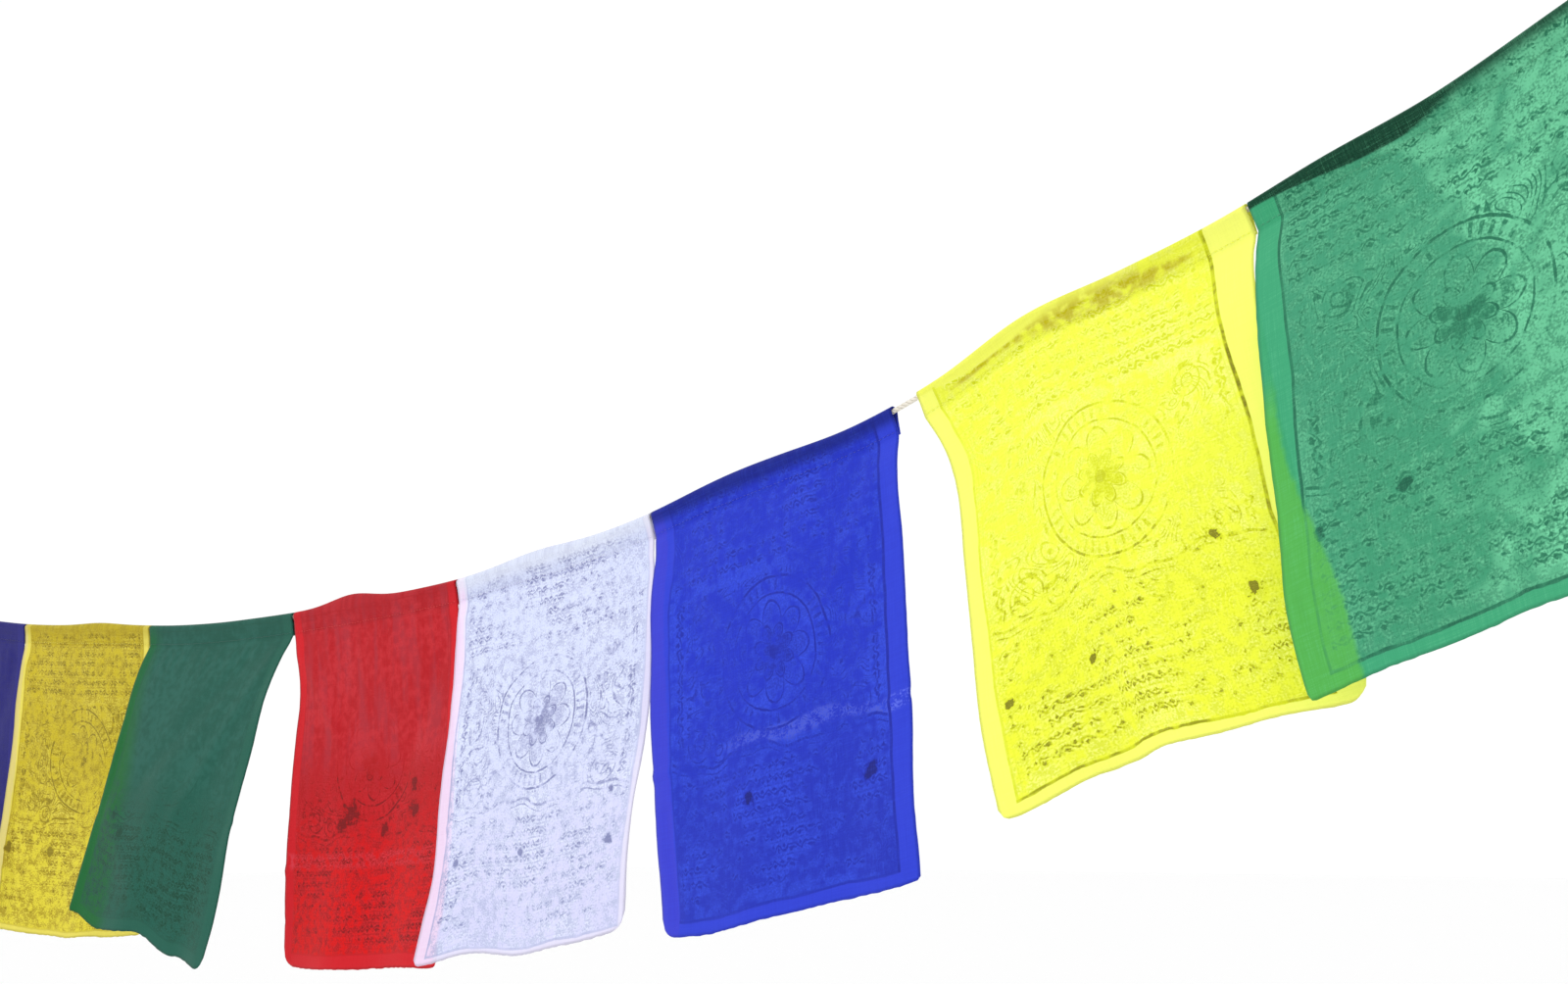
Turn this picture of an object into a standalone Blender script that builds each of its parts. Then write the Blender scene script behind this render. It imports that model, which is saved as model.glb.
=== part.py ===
"""A hanging string of eight prayer flags.

A cord sags between two tie loops. Each flag is one cut cloth: its top is folded over the cord and sewn
down as a hem, and the rest hangs square to the cord and blows a little, each flag in its own way.
Metres, +Z up, +X along the string. The flags are seen from -Y. The origin is in the left tie loop.
"""

import math
from typing import NamedTuple

import bmesh
import bpy
from mathutils import Matrix, Vector

CORD_DIAMETER = 0.003
CLOTH = 0.0012  # thickness of a flag
CLEARANCE = 0.0003  # between two pieces that touch
FLAG_DROP = 0.252  # down the cloth, from the cord to the bottom edge
HEM_DEPTH = 0.014  # the sewn hem, from the cord down
HEM_ROOM = 0.0006  # between the cord and the hem round it
SHOULDER_DEPTH = 0.4  # share of the hem's depth at which its two layers have begun to close in
SHOULDER_ROUNDNESS = 0.45  # how much of the cord's roundness the layers still have there

# The cord's route, in the plane of the string: x and height of points along it.
CORD_ROUTE = [
    (0.028, -0.006), (0.10, -0.020), (0.16, -0.030), (0.22, -0.038), (0.28, -0.045), (0.34, -0.050),
    (0.40, -0.054), (0.46, -0.058), (0.52, -0.062), (0.58, -0.064), (0.64, -0.064), (0.70, -0.063),
    (0.76, -0.061), (0.82, -0.058), (0.88, -0.054), (0.94, -0.047), (1.00, -0.040), (1.06, -0.030),
    (1.12, -0.017), (1.18, -0.006), (1.24, 0.005), (1.30, 0.023), (1.36, 0.049), (1.42, 0.062),
    (1.48, 0.077), (1.54, 0.097), (1.60, 0.115), (1.66, 0.140), (1.72, 0.166),
]
CORD_POINTS = 78  # along the tube
CORD_SIDES = 2  # bevel_resolution, which gives 8 sides

# Where a flag's columns of points lie, as shares of its width, and its rows of faces.
COLUMN_PLACES = (0.0, 0.015, 0.045, *(i / 10 for i in range(1, 10)), 0.955, 0.985, 1.0)
BEND_ROWS = 6  # over the cord
FACE_ROWS = 14  # down the hanging part

EYE_LENGTH = 0.024  # a tie loop, inside its cord
EYE_WIDTH = 0.013
EYE_FULLNESS = 1.3  # above 1, the loop's widest place bulges
EYE_POINT = 1.5  # above 1, the loop is narrow for longer at its knot
EYE_POINTS = 24
KNOT_LENGTH = 0.013
KNOT_RADIUS = 0.0042
KNOT_SWELL = 0.0006  # how much fuller the knot's middle is
KNOT_RIDGES = 4
RIDGE_STEPS = 5
RIDGE_HEIGHT = CORD_DIAMETER * 0.4
KNOT_SIDES = 14

CLOTH_ROUGHNESS = 0.85
CORD_ROUGHNESS = 0.8
CORD_COLOR = (0.70, 0.68, 0.62)

# Where the values of a Side lie, as shares of the way from the hem to the bottom edge, and where those of a
# bottom edge's cut lie, as shares of its width.
STATIONS = (0.0, 0.3, 0.65, 1.0)
CUT_PLACES = (0.0, 0.25, 0.5, 0.75, 1.0)
BELLY_START = 0.25  # share of the way down over which a belly sets in
FOLD_GROWTH = 1.3  # above 1, a fold deepens faster towards the bottom edge


class Side(NamedTuple):
    """How one side edge of a flag hangs at each station, in degrees."""

    lean: tuple  # along the string, towards +X
    swing: tuple  # out of the string's plane, towards +Y


class Flag(NamedTuple):
    name: str
    start: float  # x of its left end on the cord
    end: float
    left: Side
    right: Side
    cut: tuple  # millimetres by which the uneven bottom edge is longer, at the five CUT_PLACES
    corners: tuple  # millimetres of radius of the left and right bottom corner
    belly: float  # degrees by which the middle swings more than the sides at the top, and less at the bottom
    color: tuple


FLAGS = [
    Flag("flag_1_blue", 0.078, 0.2795,
         Side((-8, -5, -3, -2), (2, -3, -6, -5)), Side((-6, -5, -4, -4), (0, 2, 4, 4)),
         (0, 2, 1, -2, 0), (9, 8), -6, (0.030, 0.032, 0.20)),
    Flag("flag_2_yellow", 0.281, 0.4845,
         Side((-4, 0, 0, 1), (-3, -5, -5, -3)), Side((-2, -3, -5, -6), (3, 5, 4, 2)),
         (2, 2, 1, -4, -9), (9, 8), 6, (0.55, 0.45, 0.04)),
    Flag("flag_3_green", 0.486, 0.6845,
         Side((-11, -1, -1, 0), (-18, -12, -16, -14)), Side((-20, -6, -2, -2), (-16, -11, -11, -14)),
         (-25, -15, -16, 1, 10), (2, 9), -6, (0.033, 0.13, 0.09)),
    Flag("flag_4_red", 0.687, 0.8775,
         Side((14, -6, -3, -2), (0, 0, 2, 3)), Side((2, 1, 0, -1), (0, -2, -4, -5)),
         (2, 3, 3, 2, 3), (14, 5), 6, (0.55, 0.03, 0.035)),
    Flag("flag_5_white", 0.879, 1.0695,
         Side((7, 7, 9, 3), (-9, -11, -12, -19)), Side((5, 3, 2, 4), (-3, -6, -14, -6)),
         (7, 1, 5, 3, 1), (4, 11), -5, (0.64, 0.69, 0.88)),
    Flag("flag_6_blue", 1.071, 1.267,
         Side((8, 10, 9, 8), (-13, -10, -3, -2)), Side((8, 7, 6, 10), (-9, -4, -5, -4)),
         (9, 13, 11, 9, 10), (12, 2), 4, (0.030, 0.057, 0.60)),
    Flag("flag_7_yellow", 1.286, 1.498,
         Side((42, 15, 14, 19), (-7, -12, -9, -5)), Side((3, 11, 13, 14), (-8, -1, 8, 13)),
         (2, -4, -7, -7, -3), (6, 13), -6, (0.90, 0.95, 0.10)),
    Flag("flag_8_green", 1.4995, 1.690,
         Side((1, 9, 5, 12), (-14, -7, -3, 5)), Side((11, 10, 10, 10), (-8, -8, -6, -6)),
         (-1, -2, -3, 4, -4), (4, 8), 4, (0.08, 0.38, 0.21)),
]


class Fold(NamedTuple):
    """A soft upright fold, which deepens from nothing at the hem to its depth at the bottom edge."""

    flag: str
    place: float  # across the flag, as a share of its width
    half_width: float
    depth: float  # metres, towards -Y
    drift: float  # how far it moves across on its way down


FOLDS = [
    Fold("flag_1_blue", 0.30, 0.16, 0.006, 0.05),
    Fold("flag_1_blue", 0.72, 0.14, -0.005, 0.04),
    Fold("flag_2_yellow", 0.35, 0.15, -0.005, 0.03),
    Fold("flag_2_yellow", 0.68, 0.13, 0.004, -0.04),
    Fold("flag_3_green", 0.45, 0.18, 0.006, -0.06),
    Fold("flag_3_green", 0.80, 0.12, -0.005, 0.00),
    Fold("flag_4_red", 0.28, 0.14, 0.004, 0.05),
    Fold("flag_4_red", 0.62, 0.16, -0.005, 0.02),
    Fold("flag_5_white", 0.30, 0.15, -0.004, 0.05),
    Fold("flag_5_white", 0.66, 0.15, 0.006, 0.04),
    Fold("flag_6_blue", 0.40, 0.17, 0.004, -0.04),
    Fold("flag_6_blue", 0.76, 0.12, -0.004, 0.00),
    Fold("flag_7_yellow", 0.24, 0.12, -0.015, 0.08),
    Fold("flag_7_yellow", 0.78, 0.11, 0.002, 0.00),
    Fold("flag_8_green", 0.35, 0.15, -0.005, 0.05),
    Fold("flag_8_green", 0.75, 0.13, 0.005, 0.00),
]


class Puff(NamedTuple):
    """A place where the hem stands up from the cord, because the cloth is a little gathered on it."""

    flag: str
    place: float
    half_width: float
    height: float


PUFFS = [
    Puff("flag_2_yellow", 0.60, 0.20, 0.002),
    Puff("flag_4_red", 0.36, 0.18, 0.006),
    Puff("flag_5_white", 0.45, 0.22, 0.003),
    Puff("flag_6_blue", 0.40, 0.25, 0.002),
]


def clear_scene():
    for obj in list(bpy.data.objects):
        bpy.data.objects.remove(obj, do_unlink=True)


def new_collection(name):
    collection = bpy.data.collections.new(name)
    bpy.context.scene.collection.children.link(collection)
    return collection


def new_material(name, color, roughness):
    material = bpy.data.materials.new(name)
    material.use_nodes = True
    shader = material.node_tree.nodes["Principled BSDF"]
    shader.inputs["Base Color"].default_value = (*color, 1.0)
    shader.inputs["Roughness"].default_value = roughness
    shader.inputs["Metallic"].default_value = 0.0
    return material


def smooth_line(points, per_span=12):
    """Points on a smooth curve through the given ones (Catmull-Rom)."""
    ends = [2 * points[0] - points[1], *points, 2 * points[-1] - points[-2]]
    line = [points[0]]
    for a, b, c, d in zip(ends, ends[1:], ends[2:], ends[3:]):
        for i in range(1, per_span + 1):
            t = i / per_span
            line.append(0.5 * (2 * b + (c - a) * t + (2 * a - 5 * b + 4 * c - d) * t**2
                               + (3 * b - a - 3 * c + d) * t**3))
    return line


class Cord:
    """The cord's centreline, which the flags hang from."""

    def __init__(self, route):
        self.line = smooth_line([Vector((x, 0.0, z)) for x, z in route])

    def at(self, x):
        """The centreline's point at that x, and its direction there."""
        for a, b in zip(self.line, self.line[1:]):
            if a.x <= x <= b.x:
                return a.lerp(b, (x - a.x) / (b.x - a.x)), (b - a).normalized()
        raise ValueError(f"the cord doesn't reach x = {x}")


def ease(t):
    return t * t * (3 - 2 * t)


def smooth_values(values, places, place):
    """The value at a place, going smoothly from each place's value to the next."""
    for low, high, a, b in zip(places, places[1:], values, values[1:]):
        if place <= high:
            return a + (b - a) * ease((place - low) / (high - low))
    return values[-1]


def bump(place, middle, half_width):
    return math.exp(-(((place - middle) / half_width) ** 2))


def hem_profile(puff):
    """(towards -Y, down) of the hem's section round the cord, from the free edge at the back to the seam."""
    round_cord = CORD_DIAMETER / 2 + HEM_ROOM + CLOTH / 2
    at_seam = (CLOTH + CLEARANCE) / 2
    shoulder = at_seam + SHOULDER_ROUNDNESS * (round_cord - at_seam)
    profile = [(-at_seam, HEM_DEPTH), (-shoulder, HEM_DEPTH * SHOULDER_DEPTH)]
    for i in range(BEND_ROWS + 1):
        angle = math.pi * (i / BEND_ROWS - 0.5)
        profile.append((round_cord * math.sin(angle), -(round_cord + puff) * math.cos(angle)))
    return profile + [(shoulder, HEM_DEPTH * SHOULDER_DEPTH), (at_seam, HEM_DEPTH)]


def column_length(flag, across):
    """From the hem's seam down to the uneven, round-cornered bottom edge."""
    length = FLAG_DROP - HEM_DEPTH + smooth_values(flag.cut, CUT_PLACES, across) / 1000
    for millimetres, share in zip(flag.corners, (across, 1 - across)):
        radius = millimetres / 1000
        inside = max(0.0, radius - share * (flag.end - flag.start))
        length -= radius - math.sqrt(radius**2 - inside**2)
    return length


def hanging_direction(flag, across, share):
    """The direction in which the cloth runs down at that place of the flag."""
    lean, swing = (
        smooth_values(left, STATIONS, share) * (1 - across) + smooth_values(right, STATIONS, share) * across
        for left, right in ((flag.left.lean, flag.right.lean), (flag.left.swing, flag.right.swing))
    )
    middle = 4 * across * (1 - across)
    swing += flag.belly * middle * math.cos(math.pi * share) * ease(min(1.0, share / BELLY_START))
    lean, swing = math.radians(lean), math.radians(swing)
    return Vector((math.sin(lean) * math.cos(swing), math.sin(swing), -math.cos(lean) * math.cos(swing)))


def flag_column(flag, cord, across):
    """The cloth's middle surface down one column, from the hem's free edge at the back to the bottom edge."""
    point, direction = cord.at(flag.start + (flag.end - flag.start) * across)
    down = Vector((direction.z, 0.0, -direction.x))
    puff = sum(p.height * bump(across, p.place, p.half_width) for p in PUFFS if p.flag == flag.name)
    column = [point + Vector((0.0, -front, 0.0)) + down * depth for front, depth in hem_profile(puff)]
    step = column_length(flag, across) / FACE_ROWS
    place = column[-1]
    for row in range(1, FACE_ROWS + 1):
        place = place + step * hanging_direction(flag, across, (row - 0.5) / FACE_ROWS)
        share = row / FACE_ROWS
        depth = sum(f.depth * share**FOLD_GROWTH * bump(across, f.place + f.drift * share, f.half_width)
                    for f in FOLDS if f.flag == flag.name)
        column.append(place - Vector((0.0, depth, 0.0)))
    return column


def make_flag(flag, cord, collection):
    """One flag: a grid laid on its columns, and given the cloth's thickness."""
    columns = [flag_column(flag, cord, across) for across in COLUMN_PLACES]
    across_faces, down_faces = len(columns) - 1, len(columns[0]) - 1
    mesh = bpy.data.meshes.new(flag.name)
    bm = bmesh.new()
    bmesh.ops.create_grid(bm, x_segments=across_faces, y_segments=down_faces, size=0.5)
    for vert in bm.verts:
        column = round((vert.co.x + 0.5) * across_faces)
        row = round((0.5 - vert.co.y) * down_faces)
        vert.co = columns[column][row]
    bm.to_mesh(mesh)
    bm.free()
    mesh.shade_smooth()
    obj = bpy.data.objects.new(flag.name, mesh)
    collection.objects.link(obj)
    thickness = obj.modifiers.new("cloth thickness", "SOLIDIFY")
    thickness.thickness = CLOTH
    thickness.offset = 0.0
    thickness.use_even_offset = True
    mesh.materials.append(new_material(flag.name, flag.color, CLOTH_ROUGHNESS))
    return obj


def make_tube(name, points, diameter, material, collection):
    """A tube of cord along the points, with closed ends."""
    curve = bpy.data.curves.new(name, "CURVE")
    curve.dimensions = "3D"
    curve.bevel_depth = diameter / 2
    curve.bevel_resolution = CORD_SIDES
    curve.use_fill_caps = True
    spline = curve.splines.new("POLY")
    spline.points.add(len(points) - 1)
    for spot, point in zip(spline.points, points):
        spot.co = (*point, 1.0)
    curve.materials.append(material)
    obj = bpy.data.objects.new(name, curve)
    collection.objects.link(obj)
    return obj


def evenly_spaced(line, count):
    """count points at equal distances along a line."""
    lengths = [0.0]
    for a, b in zip(line, line[1:]):
        lengths.append(lengths[-1] + (b - a).length)
    points, span = [], 0
    for i in range(count):
        want = lengths[-1] * i / (count - 1)
        while span < len(line) - 2 and lengths[span + 1] < want:
            span += 1
        share = (want - lengths[span]) / (lengths[span + 1] - lengths[span])
        points.append(line[span].lerp(line[span + 1], min(1.0, share)))
    return points


def end_frame(end, outward):
    """The placing of a tie: its local +X runs outward from the cord's end, in the string's plane."""
    side = Vector((0.0, 1.0, 0.0))
    return Matrix.Translation(end) @ Matrix((outward, side, outward.cross(side))).transposed().to_4x4()


def make_tie_loop(name, frame, material, collection):
    """The cord doubled back on itself beyond its knot: a drop-shaped eye with both ends at the knot."""
    near = KNOT_LENGTH + 2 * CLEARANCE
    parted = CORD_DIAMETER / 2 + CLEARANCE
    half_width = (EYE_WIDTH + CORD_DIAMETER) / 2 - parted
    length = EYE_LENGTH + CORD_DIAMETER
    points = []
    for i in range(EYE_POINTS + 1):
        turn = 2 * math.pi * i / EYE_POINTS
        reach = near + length * (1 - math.cos(turn)) / 2
        spread = EYE_FULLNESS * half_width * math.sin(turn) * math.sin(turn / 2) ** EYE_POINT
        end_gap = parted * math.cos(turn / 2)
        points.append(frame @ Vector((reach, 0.0, spread + end_gap)))
    return make_tube(name, points, CORD_DIAMETER, material, collection)


def make_knot(name, frame, material, collection):
    """A knot of a few tight turns round the cord, turned as a ridged barrel."""
    mesh = bpy.data.meshes.new(name)
    bm = bmesh.new()
    steps = KNOT_RIDGES * RIDGE_STEPS
    profile = [(0.0, 1.0)]
    for i in range(steps + 1):
        share = i / steps
        groove = KNOT_RADIUS - RIDGE_HEIGHT + KNOT_SWELL * math.sin(math.pi * share)
        profile.append((groove + RIDGE_HEIGHT * abs(math.sin(math.pi * KNOT_RIDGES * share)), 1.0 - share))
    profile.append((0.0, 0.0))
    verts = [bm.verts.new((radius, 0.0, CLEARANCE + KNOT_LENGTH * along)) for radius, along in profile]
    for a, b in zip(verts, verts[1:]):
        bm.edges.new((a, b))
    bm.to_mesh(mesh)
    bm.free()
    mesh.materials.append(material)
    obj = bpy.data.objects.new(name, mesh)
    collection.objects.link(obj)
    obj.matrix_world = frame @ Matrix.Rotation(math.pi / 2, 4, "Y")
    turned = obj.modifiers.new("turned", "SCREW")
    turned.steps = turned.render_steps = KNOT_SIDES
    turned.use_merge_vertices = True
    turned.merge_threshold = 0.00001
    return obj


def main():
    clear_scene()
    collection = new_collection("prayer flag string")
    cord_material = new_material("cord", CORD_COLOR, CORD_ROUGHNESS)
    cord = Cord(CORD_ROUTE)
    make_tube("cord", evenly_spaced(cord.line, CORD_POINTS), CORD_DIAMETER, cord_material, collection)
    for flag in FLAGS:
        make_flag(flag, cord, collection)
    ends = (
        ("left", cord.line[0], (cord.line[0] - cord.line[1]).normalized()),
        ("right", cord.line[-1], (cord.line[-1] - cord.line[-2]).normalized()),
    )
    for side, end, outward in ends:
        frame = end_frame(end, outward)
        make_knot(f"{side}_knot", frame, cord_material, collection)
        make_tie_loop(f"{side}_tie_loop", frame, cord_material, collection)


main()
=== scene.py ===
"""The looks of a hanging string of prayer flags: printed cotton cloths, sewn over a twisted cord.

Metres, +Z up, +X along the string, seen from -Y. The cord's route and the flags' hang repeat those of the
solids, and everything else here is finer than them: the cloth's creases and puckers, the stitches, the
cord's strands, the dyes and the worn block print.
"""

import math
from typing import NamedTuple

import bmesh
import bpy
from mathutils import Matrix, Vector, noise


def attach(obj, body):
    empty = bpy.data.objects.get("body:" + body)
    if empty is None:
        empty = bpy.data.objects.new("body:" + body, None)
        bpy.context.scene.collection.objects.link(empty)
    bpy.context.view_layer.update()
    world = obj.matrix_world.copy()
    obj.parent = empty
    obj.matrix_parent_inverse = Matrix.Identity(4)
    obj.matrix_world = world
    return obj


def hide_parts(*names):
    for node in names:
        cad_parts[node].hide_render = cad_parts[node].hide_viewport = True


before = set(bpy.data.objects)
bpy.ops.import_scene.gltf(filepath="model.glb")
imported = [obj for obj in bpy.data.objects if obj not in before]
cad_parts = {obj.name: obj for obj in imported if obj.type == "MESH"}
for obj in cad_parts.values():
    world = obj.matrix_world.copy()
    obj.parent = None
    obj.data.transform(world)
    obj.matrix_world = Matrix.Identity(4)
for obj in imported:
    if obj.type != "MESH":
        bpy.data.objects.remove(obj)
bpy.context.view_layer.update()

CORD_DIAMETER = 0.003
CLOTH = 0.0005  # thickness of the cotton
CLEARANCE = 0.0003
SOLID_CLOTH = 0.0012  # the solids' thickness, which sets where the cloth's middle lies
FLAG_WIDTH = 0.2  # of the cut cloth, which the print is laid out on
FLAG_DROP = 0.252
HEM_DEPTH = 0.014
HEM_ROOM = 0.0006  # between the cord and the hem
SHOULDER_DEPTH = 0.4  # how far down the hem it narrows fast, as a share of its depth
SHOULDER_ROUNDNESS = 0.45  # how wide it still is there, from 0 as at the seam to 1 as at the cord
BELLY_START = 0.25  # share of the way down by which a flag's belly has come in
FOLD_GROWTH = 1.3  # a fold deepens with this power of the way down

CORD_ROUTE = [
    (0.028, -0.006), (0.10, -0.020), (0.16, -0.030), (0.22, -0.038), (0.28, -0.045), (0.34, -0.050),
    (0.40, -0.054), (0.46, -0.058), (0.52, -0.062), (0.58, -0.064), (0.64, -0.064), (0.70, -0.063),
    (0.76, -0.061), (0.82, -0.058), (0.88, -0.054), (0.94, -0.047), (1.00, -0.040), (1.06, -0.030),
    (1.12, -0.017), (1.18, -0.006), (1.24, 0.005), (1.30, 0.023), (1.36, 0.049), (1.42, 0.062),
    (1.48, 0.077), (1.54, 0.097), (1.60, 0.115), (1.66, 0.140), (1.72, 0.166),
]

# Faces of a flag: across it, down each layer of the hem, over the cord, and down the hanging part.
ACROSS_FACES = 96
HEM_FACES = 8
BEND_FACES = 10
DROP_FACES = 104

PUCKER_LENGTH = 0.016  # from one pucker under the hem to the next
PUCKER_DEPTH = 0.0004
PUCKER_REACH = 0.016  # how far below the seam the puckers die out
WAVE_DEPTH = 0.0016  # of the slow waves all over a flag
CURL_DEPTH = 0.0030  # of the cut edges
CURL_REACH = 0.007
SEAM_HOLD = 0.012  # how far below the seam the cloth is still held flat
TEAR_WANDER = 0.0005  # of a cut edge from straight, in long waves
FRAY_WANDER = 0.0002  # and in short ones
THREADS = 2 * math.pi / 0.0008  # of the plain weave, in radians a metre
STITCH_LENGTH = 0.0023
STITCH_PITCH = 0.0031
STITCH_WIDTH = 0.0004
STITCH_LINE = 0.0122  # from the cord down to the row of stitches
STITCH_TILT = 0.12  # radians
STITCH_WANDER = 0.0002

STRANDS = 3
STRAND_TWIST = 0.010  # the length in which a strand goes round once
ROPE_GROOVE = 0.78  # the rope's radius in the grooves between its strands, as a share of the full one
ROPE_STEP = 0.0008
ROPE_SIDES = 15

EYE_LENGTH = 0.024
EYE_WIDTH = 0.013
EYE_FULLNESS = 1.3  # makes up for most of the width that the eye's drop shape loses
EYE_STEPS = 72
KNOT_LENGTH = 0.013
KNOT_TURNS = 3.25
KNOT_STEPS = 90

MILLIMETRE = 0.001

FLOOR_HEIGHT = -1.0
FLOOR_SIZE = 40.0
SKY_STRENGTH = 1.03
LAMP_SIZE = 2.0
LAMP_AIM = (0.9, 0.0, -0.1)
KEY_PLACE = (0.4, -2.6, 1.9)
KEY_WATTS = 30.0
BACK_PLACE = (1.6, 2.4, 1.6)
BACK_WATTS = 18.0

CAMERA_PLACE = (2.048, -0.914, -0.224)
CAMERA_TURN = 43.46  # degrees to the left of looking along +Y
CAMERA_PITCH = 9.0  # degrees upwards
CAMERA_LENS = 50.0

# Where the values of a Side lie, as shares of the way from the hem to the bottom edge, and where those of a
# bottom edge's cut lie, as shares of its width.
STATIONS = (0.0, 0.3, 0.65, 1.0)
CUT_PLACES = (0.0, 0.25, 0.5, 0.75, 1.0)


class Side(NamedTuple):
    """How one side edge of a flag hangs at each station, in degrees."""

    lean: tuple  # along the string, towards +X
    swing: tuple  # out of the string's plane, towards +Y


class Flag(NamedTuple):
    name: str
    start: float  # x of its left end on the cord
    end: float
    left: Side
    right: Side
    cut: tuple  # millimetres by which the uneven bottom edge is longer, at the five CUT_PLACES
    corners: tuple  # millimetres of radius of the left and right bottom corner
    belly: float  # degrees by which its middle bulges, towards +Y where positive


FLAGS = [
    Flag("flag_1_blue", 0.078, 0.2795,
         Side((-8, -5, -3, -2), (2, -3, -6, -5)), Side((-6, -5, -4, -4), (0, 2, 4, 4)),
         (0, 2, 1, -2, 0), (9, 8), -6),
    Flag("flag_2_yellow", 0.281, 0.4845,
         Side((-4, 0, 0, 1), (-3, -5, -5, -3)), Side((-2, -3, -5, -6), (3, 5, 4, 2)),
         (2, 2, 1, -4, -9), (9, 8), 6),
    Flag("flag_3_green", 0.486, 0.6845,
         Side((-11, -1, -1, 0), (-18, -12, -16, -14)), Side((-20, -6, -2, -2), (-16, -11, -11, -14)),
         (-25, -15, -16, 1, 10), (2, 9), -6),
    Flag("flag_4_red", 0.687, 0.8775,
         Side((14, -6, -3, -2), (0, 0, 2, 3)), Side((2, 1, 0, -1), (0, -2, -4, -5)),
         (2, 3, 3, 2, 3), (14, 5), 6),
    Flag("flag_5_white", 0.879, 1.0695,
         Side((7, 7, 9, 3), (-9, -11, -12, -19)), Side((5, 3, 2, 4), (-3, -6, -14, -6)),
         (7, 1, 5, 3, 1), (4, 11), -5),
    Flag("flag_6_blue", 1.071, 1.267,
         Side((8, 10, 9, 8), (-13, -10, -3, -2)), Side((8, 7, 6, 10), (-9, -4, -5, -4)),
         (9, 13, 11, 9, 10), (12, 2), 4),
    Flag("flag_7_yellow", 1.286, 1.498,
         Side((42, 15, 14, 19), (-7, -12, -9, -5)), Side((3, 11, 13, 14), (-8, -1, 8, 13)),
         (2, -4, -7, -7, -3), (6, 13), -6),
    Flag("flag_8_green", 1.4995, 1.690,
         Side((1, 9, 5, 12), (-14, -7, -3, 5)), Side((11, 10, 10, 10), (-8, -8, -6, -6)),
         (-1, -2, -3, 4, -4), (4, 8), 4),
]


class Fold(NamedTuple):
    """A soft upright fold, which deepens from nothing at the hem to its depth at the bottom edge."""

    flag: str
    place: float  # across the flag, as a share of its width
    half_width: float
    depth: float  # metres, towards -Y
    drift: float  # how far it moves across on its way down


FOLDS = [
    Fold("flag_1_blue", 0.30, 0.16, 0.006, 0.05),
    Fold("flag_1_blue", 0.72, 0.14, -0.005, 0.04),
    Fold("flag_2_yellow", 0.35, 0.15, -0.005, 0.03),
    Fold("flag_2_yellow", 0.68, 0.13, 0.004, -0.04),
    Fold("flag_3_green", 0.45, 0.18, 0.006, -0.06),
    Fold("flag_3_green", 0.80, 0.12, -0.005, 0.00),
    Fold("flag_4_red", 0.28, 0.14, 0.004, 0.05),
    Fold("flag_4_red", 0.62, 0.16, -0.005, 0.02),
    Fold("flag_5_white", 0.30, 0.15, -0.004, 0.05),
    Fold("flag_5_white", 0.66, 0.15, 0.006, 0.04),
    Fold("flag_6_blue", 0.40, 0.17, 0.004, -0.04),
    Fold("flag_6_blue", 0.76, 0.12, -0.004, 0.00),
    Fold("flag_7_yellow", 0.24, 0.12, -0.015, 0.08),
    Fold("flag_7_yellow", 0.78, 0.11, 0.002, 0.00),
    Fold("flag_8_green", 0.35, 0.15, -0.005, 0.05),
    Fold("flag_8_green", 0.75, 0.13, 0.005, 0.00),
]


class Puff(NamedTuple):
    """A place where the hem stands up from the cord, because the cloth is a little gathered on it."""

    flag: str
    place: float
    half_width: float
    height: float


PUFFS = [
    Puff("flag_2_yellow", 0.60, 0.20, 0.002),
    Puff("flag_4_red", 0.36, 0.18, 0.006),
    Puff("flag_5_white", 0.45, 0.22, 0.003),
    Puff("flag_6_blue", 0.40, 0.25, 0.002),
]


class Crease(NamedTuple):
    """A drag line or an old packing fold, placed by metres from the left edge and down from the cord."""

    flag: str
    start: tuple
    end: tuple
    half_width: float
    depth: float  # a ridge towards -Y, or a trough where it is negative


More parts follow.
